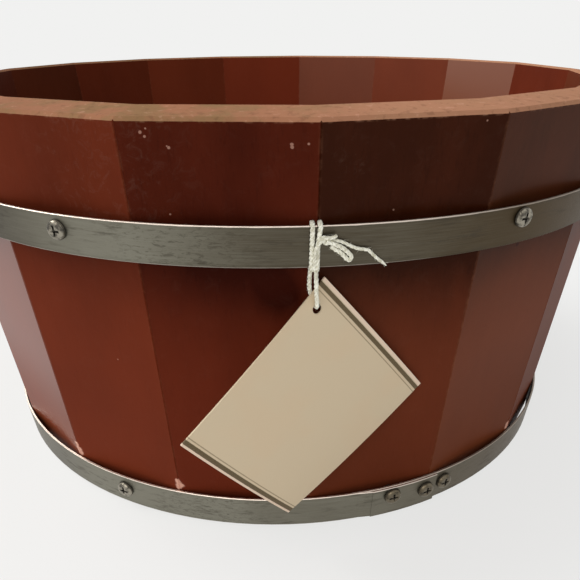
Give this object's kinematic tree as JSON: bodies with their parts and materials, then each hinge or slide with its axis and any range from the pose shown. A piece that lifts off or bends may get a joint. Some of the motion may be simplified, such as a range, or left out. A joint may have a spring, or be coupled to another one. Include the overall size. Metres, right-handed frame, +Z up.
{
  "type": "wooden bucket",
  "caption": "Low tapered stave bucket with two flat metal strap hoops, held by small screws, and a card tag hanging on a thin string.",
  "frame": {"origin": "on the bucket's axis, at the level of the staves' feet", "axes": "+Z up along the axis; -Y is the side with the tag; +X is to the right when seen from that side"},
  "size_m": [0.2899, 0.3087, 0.1478],
  "materials": {
    "stained_wood": "semi-gloss red-brown stain, rubbed at the rim and the corners",
    "strap_metal": "dull aged grey, with streaks and bright worn edges",
    "screw_metal": "worn",
    "string": "off-white twisted cotton",
    "card": "matt, with a dark stripe and a thin line at each end"
  },
  "bodies": {
    "bucket": {"stave_01": "stained_wood", "stave_02": "stained_wood", "stave_03": "stained_wood", "stave_04": "stained_wood", "stave_05": "stained_wood", "stave_06": "stained_wood", "stave_07": "stained_wood", "stave_08": "stained_wood", "stave_09": "stained_wood", "stave_10": "stained_wood", "stave_11": "stained_wood", "stave_12": "stained_wood", "stave_13": "stained_wood", "stave_14": "stained_wood", "stave_15": "stained_wood", "stave_16": "stained_wood", "stave_17": "stained_wood", "bottom_board": "stained_wood", "upper_hoop": "strap_metal", "lower_hoop": "strap_metal", "upper_hoop_screws": "screw_metal", "lower_hoop_screws": "screw_metal", "string_tie": "string"},
    "string": {"string_loop": "string"},
    "tag": {"hang_tag": "card"}
  },
  "joints": [
    {"name": "string_swing", "type": "hinge", "parent": "bucket", "child": "string", "pos_m": [0.00922, -0.1426, 0.1033], "axis": [-1, 0, 0], "range_deg": [0, 60]},
    {"name": "tag_turn", "type": "hinge", "parent": "string", "child": "tag", "pos_m": [0.0102, -0.14247, 0.09354], "axis": [0.4672, -0.8824, -0.0558], "range_deg": [-30, 3]}
  ]
}
